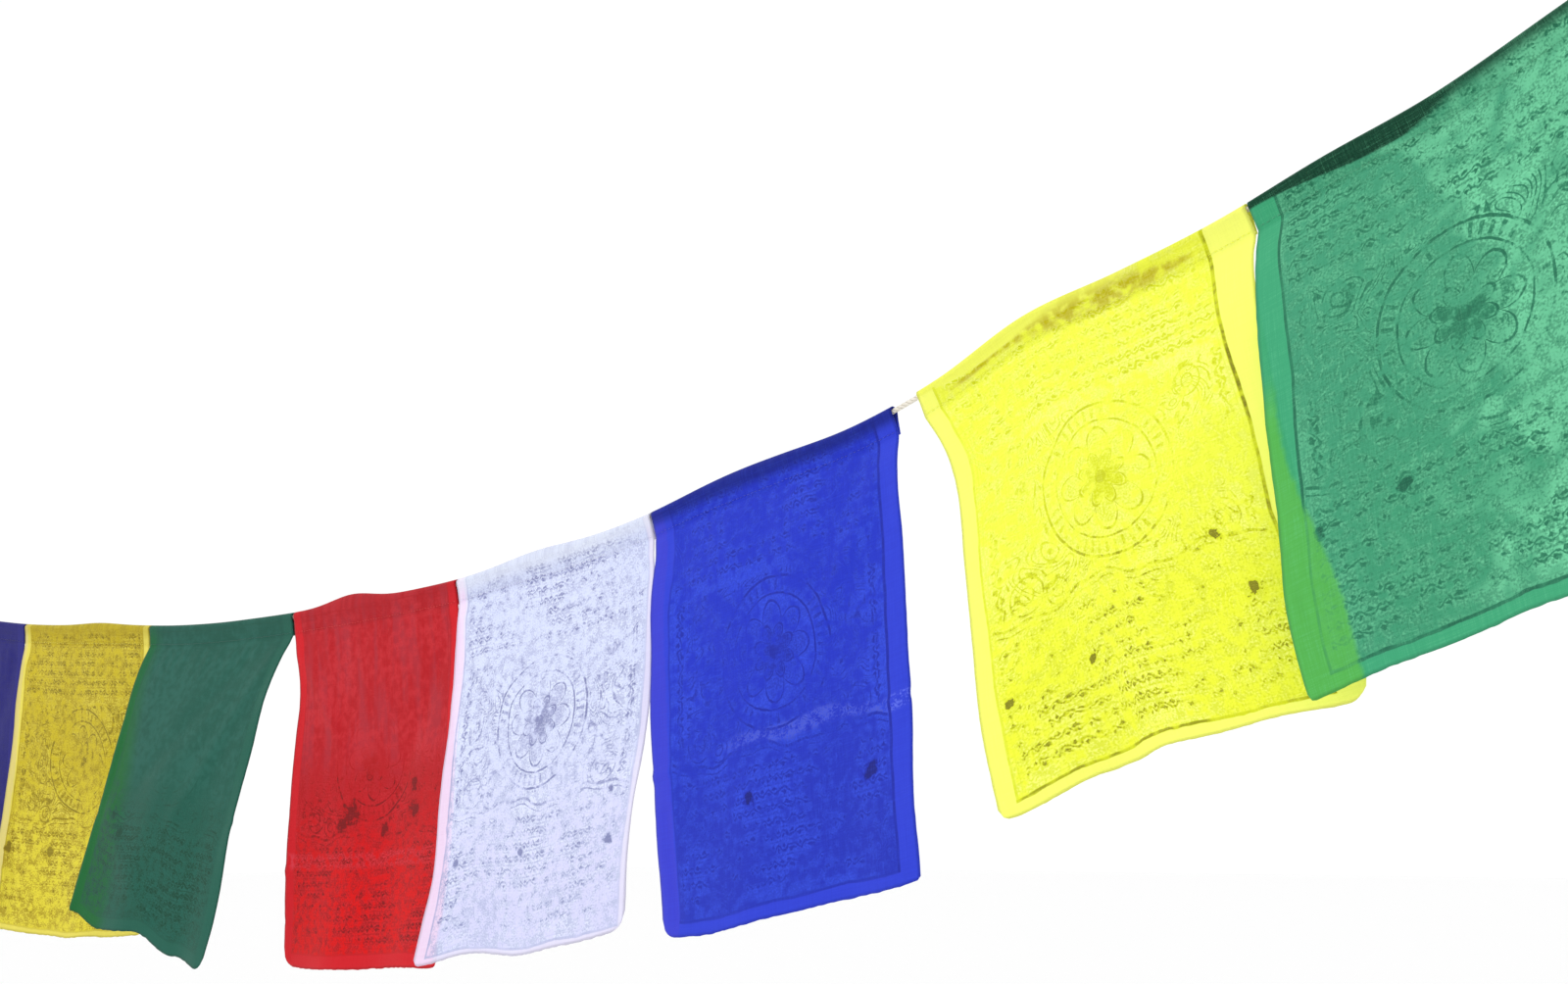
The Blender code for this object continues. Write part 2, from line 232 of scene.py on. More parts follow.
CREASES = [
    Crease("flag_1_blue", (0.010, 0.030), (0.090, 0.130), 0.010, 0.0012),
    Crease("flag_1_blue", (0.190, 0.030), (0.140, 0.150), 0.011, -0.0012),
    Crease("flag_1_blue", (0.000, 0.160), (0.200, 0.158), 0.003, 0.0006),
    Crease("flag_2_yellow", (0.010, 0.032), (0.070, 0.140), 0.010, 0.0013),
    Crease("flag_2_yellow", (0.180, 0.040), (0.120, 0.170), 0.012, -0.0014),
    Crease("flag_2_yellow", (0.000, 0.205), (0.200, 0.198), 0.003, 0.0007),
    Crease("flag_3_green", (0.188, 0.030), (0.120, 0.150), 0.010, 0.0016),
    Crease("flag_3_green", (0.150, 0.035), (0.060, 0.120), 0.012, -0.0014),
    Crease("flag_3_green", (0.020, 0.150), (0.110, 0.220), 0.012, 0.0014),
    Crease("flag_3_green", (0.000, 0.150), (0.200, 0.156), 0.003, -0.0006),
    Crease("flag_4_red", (0.008, 0.030), (0.060, 0.100), 0.008, 0.0014),
    Crease("flag_4_red", (0.190, 0.030), (0.130, 0.130), 0.010, -0.0012),
    Crease("flag_4_red", (0.000, 0.186), (0.200, 0.182), 0.0035, 0.0009),
    Crease("flag_4_red", (0.000, 0.222), (0.200, 0.219), 0.0025, -0.0005),
    Crease("flag_5_white", (0.012, 0.030), (0.090, 0.110), 0.010, 0.0014),
    Crease("flag_5_white", (0.190, 0.035), (0.150, 0.130), 0.010, -0.0012),
    Crease("flag_5_white", (0.010, 0.170), (0.190, 0.160), 0.003, 0.0008),
    Crease("flag_5_white", (0.020, 0.228), (0.120, 0.236), 0.006, -0.0010),
    Crease("flag_6_blue", (0.010, 0.032), (0.060, 0.120), 0.010, -0.0014),
    Crease("flag_6_blue", (0.188, 0.030), (0.130, 0.110), 0.009, 0.0014),
    Crease("flag_6_blue", (0.000, 0.166), (0.200, 0.162), 0.003, 0.0010),
    Crease("flag_6_blue", (0.010, 0.190), (0.014, 0.250), 0.005, -0.0012),
    Crease("flag_7_yellow", (0.012, 0.034), (0.080, 0.120), 0.009, 0.0018),
    Crease("flag_7_yellow", (0.030, 0.026), (0.140, 0.060), 0.008, -0.0012),
    Crease("flag_7_yellow", (0.190, 0.035), (0.130, 0.150), 0.011, 0.0014),
    Crease("flag_7_yellow", (0.020, 0.190), (0.120, 0.156), 0.004, 0.0010),
    Crease("flag_7_yellow", (0.120, 0.156), (0.200, 0.150), 0.004, 0.0010),
    Crease("flag_7_yellow", (0.090, 0.170), (0.100, 0.250), 0.010, -0.0014),
    Crease("flag_8_green", (0.012, 0.032), (0.090, 0.100), 0.009, 0.0015),
    Crease("flag_8_green", (0.180, 0.030), (0.120, 0.120), 0.011, -0.0014),
    Crease("flag_8_green", (0.010, 0.164), (0.200, 0.150), 0.003, 0.0008),
]


class Dye(NamedTuple):
    """A flag's colours, in sRGB from 0 to 255, and how it has aged."""

    top: tuple  # the cloth under the print, near the cord
    low: tuple  # and near the bottom edge
    pale: tuple  # where the cloth has worn, and on flag_8_green also painted light on its right part
    margin: tuple
    faint: tuple  # thin ink
    ink: tuple  # thick ink
    # hem: the hem's colour, which on flag_6_blue and flag_8_green is painted shade of the doubled cloth
    # rolled over the cord
    hem: tuple
    hem_and_shade_share: float  # how far the hem takes that colour, its painted shade included
    ink_top: float  # how strongly the print still shows, near the cord
    ink_low: float
    wear: float  # how much of the cloth is pale
    sheer: float  # share of what is behind that shows through one face of the cloth


# The three flags at the left end have darker colours than the blue, yellow and green flags at the right.
DYES = {
    "flag_1_blue": Dye((29, 27, 112), (31, 29, 102), (46, 44, 126), (40, 38, 122), (30, 28, 98),
                       (16, 16, 70), (32, 30, 112), 0.4, 0.6, 0.6, 0.4, 0.16),
    "flag_2_yellow": Dye((200, 180, 30), (226, 213, 60), (236, 224, 104), (228, 216, 96), (168, 146, 10),
                         (124, 104, 0), (180, 160, 26), 0.4, 1.30, 1.10, 0.6, 0.30),
    "flag_3_green": Dye((26, 84, 70), (28, 90, 75), (44, 104, 92), (32, 92, 76), (22, 78, 62),
                        (4, 62, 44), (34, 86, 72), 0.3, 0.15, 1.30, 0.5, 0.14),
    "flag_4_red": Dye((177, 20, 31), (217, 5, 6), (206, 52, 62), (206, 26, 38), (170, 8, 16),
                      (108, 4, 10), (174, 24, 34), 0.3, 0.30, 1.10, 0.6, 0.24),
    "flag_5_white": Dye((217, 225, 248), (217, 217, 246), (242, 250, 255), (228, 224, 243), (180, 186, 220),
                        (116, 122, 170), (240, 245, 254), 0.5, 1.10, 1.00, 0.7, 0.30),
    "flag_6_blue": Dye((33, 52, 198), (36, 52, 186), (58, 88, 234), (48, 66, 212), (28, 42, 168),
                       (18, 22, 116), (16, 29, 122), 0.8, 0.65, 0.65, 0.8, 0.24),
    "flag_7_yellow": Dye((240, 246, 76), (240, 245, 58), (252, 255, 150), (249, 253, 124), (218, 226, 22),
                         (104, 94, 0), (238, 242, 60), 0.4, 0.70, 1.00, 0.9, 0.34),
    "flag_8_green": Dye((68, 158, 120), (64, 156, 116), (126, 218, 170), (64, 170, 122), (44, 128, 94),
                        (8, 88, 64), (0, 54, 36), 0.95, 0.85, 0.85, 0.9, 0.28),
}


class Ruling(NamedTuple):
    """How far in from the flag's edges its printed frame lies, in metres, and how strong its lines are."""

    left: float
    right: float
    bottom: float
    right_top: float  # how much further in the right line starts, near the cord
    left_line: float
    right_line: float
    bottom_line: float


RULINGS = {
    "flag_1_blue": Ruling(0.012, 0.012, 0.009, 0.0, 0.5, 0.5, 0.5),
    "flag_2_yellow": Ruling(0.010, 0.009, 0.005, 0.0, 0.5, 0.5, 0.3),
    "flag_3_green": Ruling(0.012, 0.012, 0.010, 0.0, 0.3, 0.2, 0.3),
    "flag_4_red": Ruling(0.010, 0.010, 0.010, 0.0, 0.2, 0.3, 0.3),
    "flag_5_white": Ruling(0.011, 0.006, 0.004, 0.0, 0.6, 0.4, 0.5),
    "flag_6_blue": Ruling(0.016, 0.014, 0.008, 0.0, 0.6, 1.0, 0.7),
    "flag_7_yellow": Ruling(0.011, 0.016, 0.007, 0.009, 0.5, 1.0, 0.9),
    "flag_8_green": Ruling(0.015, 0.012, 0.008, 0.0, 1.0, 0.9, 1.1),
}
FRAME_TOP = 0.001  # how far the print goes on over the cord
LEFT_LINE = 0.0008  # half widths of the frame's lines
RIGHT_LINE = 0.0012
BOTTOM_LINE = 0.0009
INNER_LINE = 0.0004
INNER_GAP = 0.0032  # from the frame in to its thin inner line


class Blot(NamedTuple):
    """A thick spot of ink, in metres from the flag's left edge and down from the cord."""

    place: tuple
    radius: float


BLOTS = {
    "flag_1_blue": [],
    "flag_2_yellow": [Blot((0.014, 0.186), 0.0050), Blot((0.066, 0.185), 0.0046)],
    "flag_3_green": [Blot((0.050, 0.176), 0.0048), Blot((0.031, 0.162), 0.0042)],
    "flag_4_red": [
        Blot((0.077, 0.146), 0.0100), Blot((0.068, 0.153), 0.0070), Blot((0.152, 0.146), 0.0070),
        Blot((0.150, 0.130), 0.0050), Blot((0.115, 0.158), 0.0050),
    ],
    "flag_5_white": [
        Blot((0.025, 0.191), 0.0036), Blot((0.095, 0.190), 0.0034), Blot((0.180, 0.194), 0.0040),
        Blot((0.178, 0.164), 0.0026),
    ],
    "flag_6_blue": [Blot((0.081, 0.186), 0.0040), Blot((0.170, 0.188), 0.0050)],
    "flag_7_yellow": [
        Blot((0.153, 0.156), 0.0036), Blot((0.1645, 0.187), 0.0048), Blot((0.063, 0.196), 0.0028),
        Blot((0.0165, 0.1965), 0.0030),
    ],
    "flag_8_green": [Blot((0.0205, 0.180), 0.0040), Blot((0.064, 0.174), 0.0040)],
}


class Behind(NamedTuple):
    """The strip along a flag's left edge where the neighbour behind it shows through."""

    flag: str
    start: float  # metres down from the cord to where it shows in full and starts to widen
    top: float  # metres in from the left edge there
    bottom: float  # and at the bottom edge
    color: tuple
    strength: float
    softness: float  # metres over which its edge fades
    veil: float  # how much of the print it hides


BEHIND = [
    Behind("flag_2_yellow", 0.0, 0.005, 0.010, (226, 212, 140), 0.8, 0.0024, 0.0),
    Behind("flag_3_green", 0.010, 0.010, 0.052, (14, 100, 36), 0.85, 0.030, 0.0),
    Behind("flag_5_white", 0.0, 0.008, 0.018, (242, 221, 244), 0.9, 0.0024, 0.0),
    Behind("flag_6_blue", 0.0, 0.010, 0.015, (72, 66, 206), 0.5, 0.0024, 0.0),
    Behind("flag_8_green", 0.120, 0.006, 0.029, (94, 188, 80), 0.85, 0.0034, 0.7),
]
STRIP_APPEARS = 0.03  # how far above its start a strip begins to show
STRIP_END = 0.225  # how far down from the cord the strips have their full width


def smooth_line(points, per_span=12):
    """Points on a smooth curve through the given ones (Catmull-Rom)."""
    ends = [2 * points[0] - points[1], *points, 2 * points[-1] - points[-2]]
    line = [points[0]]
    for a, b, c, d in zip(ends, ends[1:], ends[2:], ends[3:]):
        for i in range(1, per_span + 1):
            t = i / per_span
            line.append(0.5 * (2 * b + (c - a) * t + (2 * a - 5 * b + 4 * c - d) * t**2
                               + (3 * b - a - 3 * c + d) * t**3))
    return line


class Cord:
    """The cord's centreline, which the flags hang from."""

    def __init__(self, route):
        self.line = smooth_line([Vector((x, 0.0, z)) for x, z in route])

    def at(self, x):
        """The centreline's point at that x, and its direction there."""
        for a, b in zip(self.line, self.line[1:]):
            if a.x <= x <= b.x:
                return a.lerp(b, (x - a.x) / (b.x - a.x)), (b - a).normalized()
        raise ValueError(f"the cord doesn't reach x = {x}")


def ease(t):
    return t * t * (3 - 2 * t)


def smooth_values(values, places, place):
    """The value at a place, going smoothly from each place's value to the next."""
    for low, high, a, b in zip(places, places[1:], values, values[1:]):
        if place <= high:
            return a + (b - a) * ease((place - low) / (high - low))
    return values[-1]


def bump(place, middle, half_width):
    return math.exp(-(((place - middle) / half_width) ** 2))


def hem_profile(puff):
    """The hem's section from its free edge to the seam, in (towards -Y, down, along the cloth)."""
    round_cord = CORD_DIAMETER / 2 + HEM_ROOM + SOLID_CLOTH / 2
    at_seam = (SOLID_CLOTH + CLEARANCE) / 2
    shoulder_depth = HEM_DEPTH * SHOULDER_DEPTH
    shoulder = at_seam + SHOULDER_ROUNDNESS * (round_cord - at_seam)

    def side_layer(depth):
        if depth < shoulder_depth:
            return round_cord + (shoulder - round_cord) * depth / shoulder_depth
        return shoulder + (at_seam - shoulder) * (depth - shoulder_depth) / (HEM_DEPTH - shoulder_depth)

    depths = [HEM_DEPTH * i / HEM_FACES for i in range(HEM_FACES, 0, -1)]
    profile = [(-side_layer(depth), depth, -depth) for depth in depths]
    for i in range(BEND_FACES + 1):
        angle = math.pi * (i / BEND_FACES - 0.5)
        profile.append((round_cord * math.sin(angle), -(round_cord + puff) * math.cos(angle), 0.0))
    return profile + [(side_layer(depth), depth, depth) for depth in reversed(depths)]


def uncut_length(flag, across):
    """From the hem's seam down to the uneven bottom edge."""
    return FLAG_DROP - HEM_DEPTH + smooth_values(flag.cut, CUT_PLACES, across) * MILLIMETRE


def edge_wander(flag, place, edge):
    """How far the cut edge strays from straight, because the cloth was torn by hand."""
    seed = Vector((place * 40, flag.start * 50, edge))
    return TEAR_WANDER * noise.noise(seed) + FRAY_WANDER * noise.noise(seed * 4)


def corner_loss(flag, across):
    """How much of that length the round bottom corners take away."""
    loss = 0.0
    for millimetres, share in zip(flag.corners, (across, 1 - across)):
        radius = millimetres * MILLIMETRE
        inside = max(0.0, radius - share * (flag.end - flag.start))
        loss += radius - math.sqrt(radius**2 - inside**2)
    return loss


def hanging_direction(flag, across, share):
    """The direction in which the cloth runs down at that place of the flag."""
    lean, swing = (
        smooth_values(left, STATIONS, share) * (1 - across) + smooth_values(right, STATIONS, share) * across
        for left, right in ((flag.left.lean, flag.right.lean), (flag.left.swing, flag.right.swing))
    )
    middle = 4 * across * (1 - across)
    swing += flag.belly * middle * math.cos(math.pi * share) * ease(min(1.0, share / BELLY_START))
    lean, swing = math.radians(lean), math.radians(swing)
    return Vector((math.sin(lean) * math.cos(swing), math.sin(swing), -math.cos(lean) * math.cos(swing)))


def crease_depth(creases, across, down):
    """How far the creases push that place of the cloth towards -Y."""
    depth = 0.0
    place = Vector((across * FLAG_WIDTH, down))
    for crease in creases:
        start, end = Vector(crease.start), Vector(crease.end)
        run = end - start
        share = max(0.0, min(1.0, (place - start).dot(run) / run.length_squared))
        off = (place - start - run * share).length / crease.half_width
        depth += crease.depth * math.exp(-off * off)
    return depth


def limp_depth(flag, across, down):
    """The cloth's small unevenness: puckers below the seam, slow waves, and edges that curl."""
    seed = flag.start * 40
    uneven = 6 * noise.noise(Vector((across * 5, seed, 0)))
    pucker = math.sin(2 * math.pi * across * FLAG_WIDTH / PUCKER_LENGTH + uneven)
    wave = noise.noise(Vector((across * FLAG_WIDTH * 22, down * 14, seed)))
    curl = 0.0
    for edge, share in enumerate((across, 1 - across)):
        way = noise.noise(Vector((down * 16, seed, 7 * edge)))
        curl += CURL_DEPTH * way * bump(share * FLAG_WIDTH, 0.0, CURL_REACH)
    return PUCKER_DEPTH * pucker * math.exp(-down / PUCKER_REACH) + WAVE_DEPTH * wave + curl


class Spot(NamedTuple):
    """A point of a flag's middle surface, and its place on the flat cloth in metres."""

    point: Vector
    flat: tuple


def flag_column(flag, cord, creases, across):
    """The cloth down one column, from the hem's free edge at the back to the bottom edge."""
    point, direction = cord.at(flag.start + (flag.end - flag.start) * across)
    down = Vector((direction.z, 0.0, -direction.x))
    at_edge = {0.0: -1, 1.0: 1}.get(across, 0)
    puff = sum(p.height * bump(across, p.place, p.half_width) for p in PUFFS if p.flag == flag.name)
    folds = [fold for fold in FOLDS if fold.flag == flag.name]
    column = [
        Spot(point + Vector((0.0, -front, 0.0)) + down * depth, (across * FLAG_WIDTH, along))
        for front, depth, along in hem_profile(puff)
    ]
    uncut = uncut_length(flag, across)
    length = uncut - corner_loss(flag, across) + edge_wander(flag, across, 0)
    place = column[-1].point
    for row in range(1, DROP_FACES + 1):
        share = row / DROP_FACES
        place = place + length / DROP_FACES * hanging_direction(flag, across, share - 0.5 / DROP_FACES)
        below = length * share
        free = ease(min(1.0, below / SEAM_HOLD))
        deepening = share**FOLD_GROWTH
        depth = free * (crease_depth(creases, across, HEM_DEPTH + below) + limp_depth(flag, across, below))
        for fold in folds:
            depth += fold.depth * deepening * bump(across, fold.place + fold.drift * share, fold.half_width)
        aside = at_edge * edge_wander(flag, below, at_edge) * free
        along = HEM_DEPTH + below * (FLAG_DROP - HEM_DEPTH) / uncut
        column.append(Spot(place + Vector((aside, -depth, 0.0)), (across * FLAG_WIDTH, along)))
    return column


def add_piece(name, bm):
    """The bmesh as an object at the origin, which rides with the string."""
    mesh = bpy.data.meshes.new(name)
    bm.to_mesh(mesh)
    bm.free()
    mesh.shade_smooth()
    piece = bpy.data.objects.new(name, mesh)
    bpy.context.scene.collection.objects.link(piece)
    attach(piece, "root")
    return piece


def make_cloth(flag, cord):
    """One flag's cloth: a grid laid on its columns, with the flat cloth as its UV map, in metres."""
    creases = [crease for crease in CREASES if crease.flag == flag.name]
    columns = [flag_column(flag, cord, creases, i / ACROSS_FACES) for i in range(ACROSS_FACES + 1)]
    down_faces = len(columns[0]) - 1
    bm = bmesh.new()
    bmesh.ops.create_grid(bm, x_segments=ACROSS_FACES, y_segments=down_faces, size=0.5)
    flat_map = bm.loops.layers.uv.new("cloth")
    flat = {}
    for vert in bm.verts:
        spot = columns[round((vert.co.x + 0.5) * ACROSS_FACES)][round((0.5 - vert.co.y) * down_faces)]
        vert.co = spot.point
        flat[vert] = spot.flat
    for face in bm.faces:
        for loop in face.loops:
            loop[flat_map].uv = flat[loop.vert]
    cloth = add_piece(flag.name + "_cloth", bm)
    thickness = cloth.modifiers.new("cloth thickness", "SOLIDIFY")
    thickness.thickness = CLOTH
    thickness.offset = 0.0
    thickness.use_even_offset = True
    return cloth


def make_stitches(flag, cord):
    """The row of stitches that closes the hem, on its front and its back."""
    bm = bmesh.new()
    profile = {round(depth, 6): front for front, depth, _ in hem_profile(0.0) if depth > 0 and front > 0}
    near = min(profile, key=lambda depth: abs(depth - STITCH_LINE))
    layer = profile[near] + CLOTH / 2 + STITCH_WIDTH * 0.2
    length = flag.end - flag.start
    count = int(length / STITCH_PITCH) - 1
    for i in range(count):
        point, direction = cord.at(flag.start + (i + 1) * length / (count + 1))
        down = Vector((direction.z, 0.0, -direction.x))
        for facing in (-1, 1):
            tilt = STITCH_TILT * noise.noise(Vector((i * 0.7, flag.start * 9, facing)))
            depth = STITCH_LINE + STITCH_WANDER * math.sin(i * 2.3)
            middle = point + down * depth + Vector((0.0, facing * layer, 0.0))
            turned = Matrix.Rotation(-math.atan2(direction.z, direction.x) + tilt, 4, "Y")
            size = Matrix.Diagonal((STITCH_LENGTH / 2, STITCH_WIDTH / 2, STITCH_WIDTH / 2, 1.0))
            bmesh.ops.create_icosphere(
                bm, subdivisions=1, radius=1.0, matrix=Matrix.Translation(middle) @ turned @ size)
    return add_piece(flag.name + "_stitches", bm)


def evenly_spaced(line, step):
    """Points at about equal distances along a line, its ends included."""
    lengths = [0.0]
    for a, b in zip(line, line[1:]):
        lengths.append(lengths[-1] + (b - a).length)
    count = max(2, round(lengths[-1] / step))
    points, span = [], 0
    for i in range(count + 1):
        want = lengths[-1] * i / count
        while span < len(line) - 2 and lengths[span + 1] < want:
            span += 1
        share = (want - lengths[span]) / (lengths[span + 1] - lengths[span])
        points.append(line[span].lerp(line[span + 1], min(1.0, share)))
    return points


def twisted_rope(name, line, diameter):
    """A rope of three strands along a line: a grid rolled into a lobed tube, with closed ends."""
    path = evenly_spaced(line, ROPE_STEP)
    rings = len(path) - 1
    bm = bmesh.new()
    bmesh.ops.create_grid(bm, x_segments=rings, y_segments=ROPE_SIDES, size=0.5)
    flat_map = bm.loops.layers.uv.new("rope")
    across = Vector((0.0, 1.0, 0.0))
    frames = []
    for i, point in enumerate(path):
        along = (path[min(i + 1, rings)] - path[max(i - 1, 0)]).normalized()
        across = (across - along * across.dot(along)).normalized()
        frames.append((point, across.copy(), along.cross(across)))
    flat = {}
    for vert in bm.verts:
        ring = round((vert.co.x + 0.5) * rings)
        side = round((vert.co.y + 0.5) * ROPE_SIDES)
        angle = 2 * math.pi * side / ROPE_SIDES
        twist = 2 * math.pi * ring * ROPE_STEP / STRAND_TWIST
        lobe = abs(math.cos(STRANDS / 2 * (angle - twist)))
        radius = diameter / 2 * (ROPE_GROOVE + (1 - ROPE_GROOVE) * lobe)
        point, sideways, upward = frames[ring]
        vert.co = point + radius * (math.cos(angle) * sideways + math.sin(angle) * upward)
        flat[vert] = (ring * ROPE_STEP, side / ROPE_SIDES)
    for face in bm.faces:
        for loop in face.loops:
            loop[flat_map].uv = flat[loop.vert]
    bmesh.ops.remove_doubles(bm, verts=bm.verts, dist=0.00002)
    bmesh.ops.holes_fill(bm, edges=[edge for edge in bm.edges if edge.is_boundary], sides=0)
    bmesh.ops.recalc_face_normals(bm, faces=bm.faces)
    return add_piece(name, bm), path


def end_frame(end, outward):
    """The placing of a tie: its local +X runs outward from the cord's end, in the string's plane."""
    side = Vector((0.0, 1.0, 0.0))
    return Matrix.Translation(end) @ Matrix((outward, side, outward.cross(side))).transposed().to_4x4()


def tie_loop_line(placing):
    """The cord doubled back on itself beyond its knot: a drop-shaped eye with both ends at the knot."""
    near = KNOT_LENGTH + 2 * CLEARANCE
    parted = CORD_DIAMETER / 2 + CLEARANCE
    half_width = (EYE_WIDTH + CORD_DIAMETER) / 2 - parted
    length = EYE_LENGTH + CORD_DIAMETER
    line = []
    for i in range(EYE_STEPS + 1):
        turn = 2 * math.pi * i / EYE_STEPS
        reach = near + length * (1 - math.cos(turn)) / 2
        spread = EYE_FULLNESS * half_width * math.sin(turn) * math.sin(turn / 2) ** 1.5
        end_gap = parted * math.cos(turn / 2)
        line.append(placing @ Vector((reach, 0.0, spread + end_gap)))
    return line


def knot_line(placing):
    """The tight turns of cord round the cord's end."""
    round_cord = CORD_DIAMETER + CLEARANCE / 2
    first = CLEARANCE + CORD_DIAMETER / 2
    last = KNOT_LENGTH - CORD_DIAMETER / 2
    line = []
    for i in range(KNOT_STEPS + 1):
        share = i / KNOT_STEPS
        reach = first + (last - first) * share
        turn = 2 * math.pi * KNOT_TURNS * share
        line.append(placing @ Vector((reach, round_cord * math.cos(turn), round_cord * math.sin(turn))))
    return line


class Value:
    """A socket in a material's nodes, which Python's arithmetic works on."""

    def __init__(self, nodes, socket):
        self.nodes = nodes
        self.socket = socket

    def __add__(self, other):
        return self.nodes.math("ADD", self, other)

    def __radd__(self, other):
        return self.nodes.math("ADD", other, self)

    def __sub__(self, other):
        return self.nodes.math("SUBTRACT", self, other)

    def __rsub__(self, other):
        return self.nodes.math("SUBTRACT", other, self)

    def __mul__(self, other):
        return self.nodes.math("MULTIPLY", self, other)

    def __rmul__(self, other):
        return self.nodes.math("MULTIPLY", other, self)

    def __truediv__(self, other):
        return self.nodes.math("DIVIDE", self, other)

    def __pow__(self, other):
        return self.nodes.math("POWER", self, other)

    def __abs__(self):
        return self.nodes.math("ABSOLUTE", self)


class Nodes:
    """A material's nodes."""

    def __init__(self, name):
        self.material = bpy.data.materials.new(name)
        self.material.use_nodes = True
        self.tree = self.material.node_tree
        self.shader = self.tree.nodes["Principled BSDF"]

    def node(self, kind, settings=None, sockets=None, output=0):
        """A new node's output, with its settings made first and then its sockets set or linked."""
        made = self.tree.nodes.new(kind)
        for name, value in (settings or {}).items():
            setattr(made, name, value)
        for name, value in (sockets or {}).items():
            if isinstance(value, Value):
                self.tree.links.new(value.socket, made.inputs[name])
            else:
                made.inputs[name].default_value = value
        return Value(self, made.outputs[output])

    def math(self, operation, *values):
        return self.node("ShaderNodeMath", {"operation": operation}, dict(enumerate(values)))

    def larger(self, *values):
        result = values[0]
        for value in values[1:]:
            result = self.math("MAXIMUM", result, value)
        return result

    def root(self, value):
        return self.math("SQRT", value)

    def rise(self, value, start, end, low=0.0, high=1.0):
        """0 below start, 1 above end, and smooth between them."""
        return self.node(
            "ShaderNodeMapRange", {"interpolation_type": "SMOOTHSTEP"},
            {"Value": value, "From Min": start, "From Max": end, "To Min": low, "To Max": high})

    def fade(self, value, start, end):
        """1 below start, 0 above end, and smooth between them."""
        return self.rise(value, start, end, 1.0, 0.0)

    def line(self, distance, half_width):
        """A drawn line where the distance to it is small."""
        return self.fade(abs(distance), half_width * 0.6, half_width * 1.5)

    def vector(self, x, y, z=0.0):
        return self.node("ShaderNodeCombineXYZ", None, {0: x, 1: y, 2: z})

    def noise(self, place, scale, detail=2.0, distortion=0.0):
        return self.node(
            "ShaderNodeTexNoise", None,
            {"Vector": place, "Scale": scale, "Detail": detail, "Distortion": distortion})

    def mix(self, share, a, b):
        return self.node("ShaderNodeMix", {"data_type": "RGBA"}, {0: share, 6: a, 7: b}, 2)

    def uv(self, name):
        """The two numbers of a UV map."""
        place = self.node("ShaderNodeUVMap", {"uv_map": name})
        return tuple(self.node("ShaderNodeSeparateXYZ", None, {0: place}, i) for i in range(2))

    def set(self, name, value):
        """Sets or links one of the shader's own sockets."""
        if isinstance(value, Value):
            self.tree.links.new(value.socket, self.shader.inputs[name])
        else:
            self.shader.inputs[name].default_value = value

    def relief(self, height, strength):
        """Unevenness too fine for the mesh, as a height in metres."""
        sockets = {"Strength": strength, "Distance": 1.0, "Height": height}
        self.set("Normal", self.node("ShaderNodeBump", None, sockets))


def paint(red, green, blue):
    """A colour from sRGB's 0 to 255, as Blender's linear colour."""
    def linear(level):
        level = level / 255
        return level / 12.92 if level <= 0.04045 else ((level + 0.055) / 1.055) ** 2.4
    return linear(red), linear(green), linear(blue), 1.0


# The block print's picture, in metres from its middle line and down from the cord.
PICTURE_WIDTH = 0.172
ROWS_TOP = 0.0025
ROWS_LOW = 0.1670
ROW_PITCH = 0.0078
ROWS_HALF_WIDTH = 0.082
TOP_ROWS = 7  # how many rows of scrolls lie above the picture
LOW_ROWS = 9  # and below it
SCROLL_LENGTH = 0.0105  # of one wave of a running scroll
COLUMN_PLACE = 0.0770
COLUMN_WIDTH = 0.010
COLUMN_SCROLL = 0.012  # one wave of a scroll at the picture's sides
LOTUS_DOWN = 0.109
OUTER_PETALS = 0.0165  # from the lotus's middle to where two petals meet
OUTER_REACH = 0.0120  # and on from there to a petal's tip
INNER_PETALS = 0.0075
INNER_REACH = 0.0085
HALO_INSIDE = 0.0325
HALO_OUTSIDE = 0.0425
HALO_RAYS = 44
CLOUD_LINE = 0.160
CLOUD_GAP = 0.0036  # between the clouds' two lines
CLOUDS_HALF_WIDTH = 0.084
FILIGREE_HALF_WIDTH = 0.0715
PICTURE_HALF_HEIGHT = 0.046
CURLS = (
    (-0.062, 0.149, 0.0095), (-0.045, 0.155, 0.0065), (0.062, 0.149, 0.0095), (0.045, 0.155, 0.0065),
    (-0.058, 0.074, 0.0080), (0.058, 0.074, 0.0080),
)


def running_scroll(n, along, off, turn):
    """One row of a wavy stem with a leaf in each bend. off is the place across the row, from -0.5 to 0.5."""
    swing = n.math("SINE", turn)
    stem = n.fade(abs(off - swing * 0.20), 0.04, 0.19) * 0.75
    leaf = n.fade(abs(n.math("COSINE", turn)) * 0.6 + abs(off + swing * 0.16) * 3.0, 0.35, 0.95) * 0.85
    return n.larger(stem, leaf) * n.fade(abs(along), 0.5, 0.503)


def scroll_rows(n, x, y, wobble, first, rows):
    """Rows of running scrolls, cut by hand and so uneven, which fill the print from side to side."""
    row = (y - first) / ROW_PITCH
    number = n.math("FLOOR", row)
    off = row - number - 0.5
    turn = x * (2 * math.pi / SCROLL_LENGTH) + number * 2.4 + wobble
    inside = n.fade(abs(row - rows / 2), rows / 2 - 0.05, rows / 2)
    within = n.fade(abs(x), ROWS_HALF_WIDTH, ROWS_HALF_WIDTH + 0.001)
    ruled = n.fade(0.5 - abs(off), 0.04, 0.14) * within * 0.55
    return n.larger(running_scroll(n, x / (2 * ROWS_HALF_WIDTH), off, turn), ruled) * inside


def scroll_columns(n, x, y, wobble):
    """A running scroll up each side of the picture."""
    off = (abs(x) - COLUMN_PLACE) / COLUMN_WIDTH
    turn = y * (2 * math.pi / COLUMN_SCROLL) + wobble
    along = (y - LOTUS_DOWN) / (2 * PICTURE_HALF_HEIGHT)
    return running_scroll(n, along, off, turn) * n.fade(abs(off), 0.48, 0.5)


